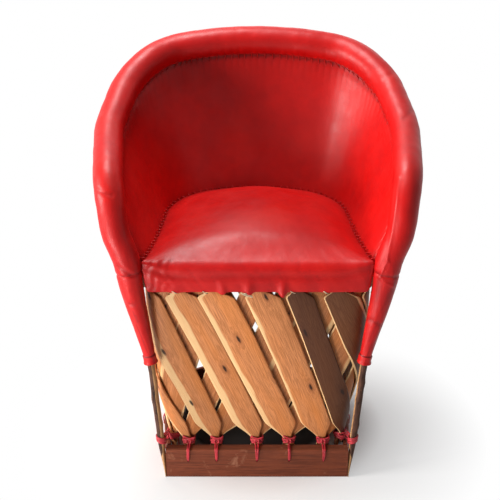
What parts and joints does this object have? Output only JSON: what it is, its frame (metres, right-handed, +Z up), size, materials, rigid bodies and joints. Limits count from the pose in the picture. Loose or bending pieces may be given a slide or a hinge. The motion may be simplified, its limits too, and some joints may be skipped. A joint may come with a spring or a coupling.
{
  "type": "equipale chair",
  "caption": "Barrel armchair of red leather stretched on bent rods, on a drum of crossed wooden slats tied with thongs to a low base.",
  "frame": {"origin": "bottom centre of the chair's bounding box, on the floor", "axes": "+Z up, the front of the seat faces -Y, +X to the right as seen from the front"},
  "size_m": [0.6206, 0.499, 0.8254],
  "materials": {
    "red_leather": "semi-gloss dyed hide",
    "thong_leather": "dull cut thong",
    "slat_wood": "split wood, waxed",
    "base_wood": "stained wood",
    "bark_stick": "stick with bark left on",
    "filling": "loose fibre"
  },
  "bodies": {
    "root": {"back_stave_1": "slat_wood", "back_stave_2": "slat_wood", "back_stave_3": "slat_wood", "back_stave_4": "slat_wood", "back_stave_5": "slat_wood", "back_stave_6": "slat_wood", "back_stave_7": "slat_wood", "base_front_board": "base_wood", "base_hoop": "base_wood", "base_lacing": "thong_leather", "cuff_left": "red_leather", "cuff_right": "red_leather", "front_post_left": "bark_stick", "front_post_right": "bark_stick", "inner_back_panel": "red_leather", "inner_slat_01": "slat_wood", "inner_slat_02": "slat_wood", "inner_slat_03": "slat_wood", "inner_slat_04": "slat_wood", "inner_slat_05": "slat_wood", "inner_slat_06": "slat_wood", "inner_slat_07": "slat_wood", "inner_slat_08": "slat_wood", "inner_slat_09": "slat_wood", "inner_slat_10": "slat_wood", "inner_slat_11": "slat_wood", "inner_slat_12": "slat_wood", "inner_slat_13": "slat_wood", "inner_slat_14": "slat_wood", "inner_slat_15": "slat_wood", "inner_slat_16": "slat_wood", "outer_back_panel": "red_leather", "outer_slat_01": "slat_wood", "outer_slat_02": "slat_wood", "outer_slat_03": "slat_wood", "outer_slat_04": "slat_wood", "outer_slat_05": "slat_wood", "outer_slat_06": "slat_wood", "outer_slat_07": "slat_wood", "outer_slat_08": "slat_wood", "outer_slat_09": "slat_wood", "outer_slat_10": "slat_wood", "outer_slat_11": "slat_wood", "outer_slat_12": "slat_wood", "outer_slat_13": "slat_wood", "outer_slat_14": "slat_wood", "outer_slat_15": "slat_wood", "outer_slat_16": "slat_wood", "rim_hoop": "bark_stick", "roll_cover": "red_leather", "roll_padding": "filling", "seat_cover": "red_leather", "seat_front_rail": "base_wood", "seat_hoop": "base_wood", "seat_lacing": "thong_leather", "seat_mat": "slat_wood", "seat_padding": "filling"}
  },
  "joints": []
}
